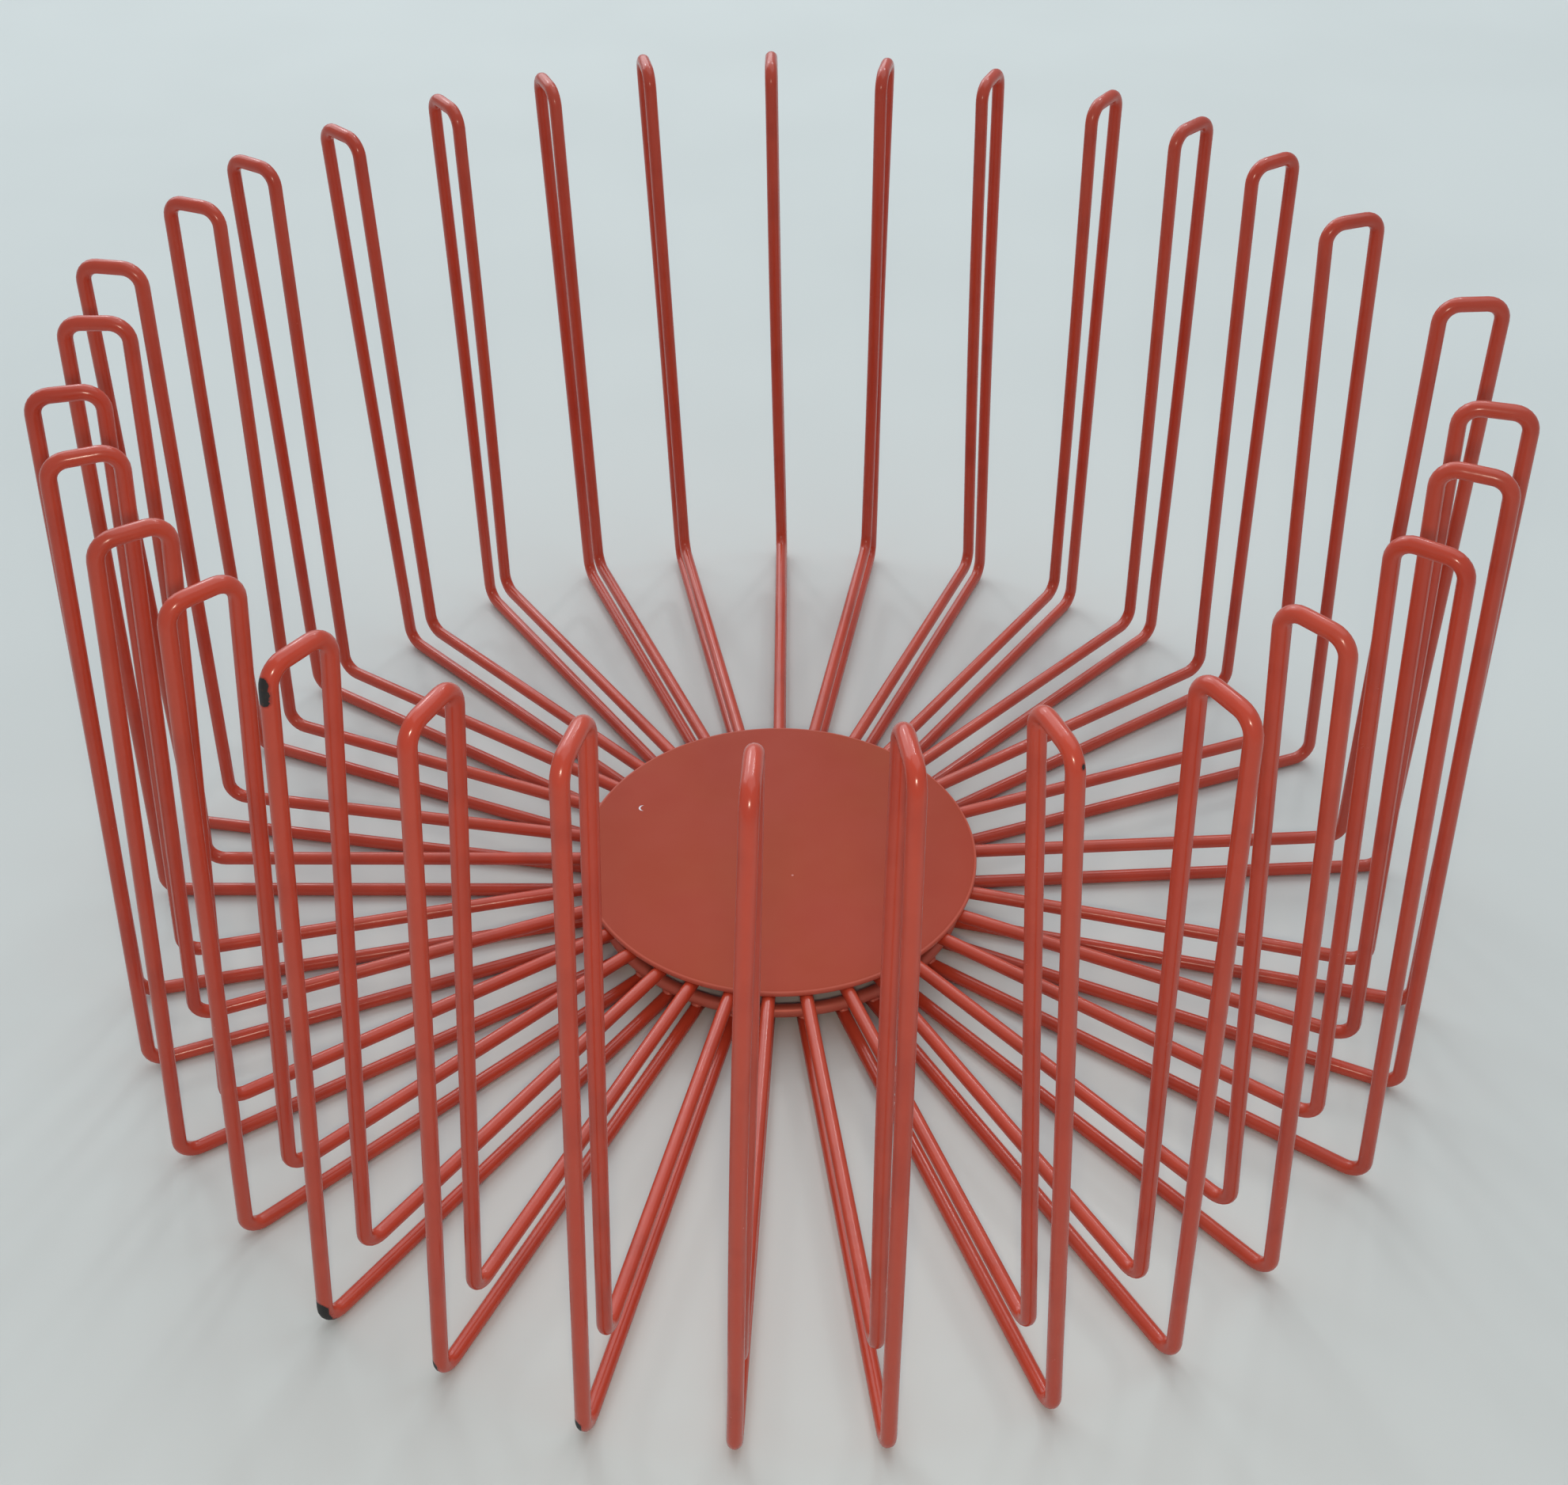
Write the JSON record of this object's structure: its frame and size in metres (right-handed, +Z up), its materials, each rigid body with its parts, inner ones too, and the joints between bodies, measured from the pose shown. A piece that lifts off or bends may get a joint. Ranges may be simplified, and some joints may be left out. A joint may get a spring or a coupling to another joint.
{
  "type": "dish drying rack",
  "caption": "Round welded wire rack: bent double-wire prongs stand in a ring around a flat sheet disc and hold dishes or fruit.",
  "frame": {"origin": "on the rack's axis, at the floor that it stands on", "axes": "+Z up along the rack's axis, +Y to the back, where the first prong stands"},
  "size_m": [0.2935, 0.298, 0.1515],
  "materials": {
    "wire_enamel": "semi-gloss coral-red enamel, chipped at a few bends",
    "disc_enamel": "satin coral-red enamel, slightly mottled"
  },
  "bodies": {
    "root": {"hub_disc": "disc_enamel", "hub_ring": "wire_enamel", "prong_01": "wire_enamel", "prong_02": "wire_enamel", "prong_03": "wire_enamel", "prong_04": "wire_enamel", "prong_05": "wire_enamel", "prong_06": "wire_enamel", "prong_07": "wire_enamel", "prong_08": "wire_enamel", "prong_09": "wire_enamel", "prong_10": "wire_enamel", "prong_11": "wire_enamel", "prong_12": "wire_enamel", "prong_13": "wire_enamel", "prong_14": "wire_enamel", "prong_15": "wire_enamel", "prong_16": "wire_enamel", "prong_17": "wire_enamel", "prong_18": "wire_enamel", "prong_19": "wire_enamel", "prong_20": "wire_enamel", "prong_21": "wire_enamel", "prong_22": "wire_enamel", "prong_23": "wire_enamel", "prong_24": "wire_enamel", "prong_25": "wire_enamel", "prong_26": "wire_enamel", "prong_27": "wire_enamel", "prong_28": "wire_enamel", "prong_29": "wire_enamel", "prong_30": "wire_enamel", "prong_31": "wire_enamel"}
  },
  "joints": []
}
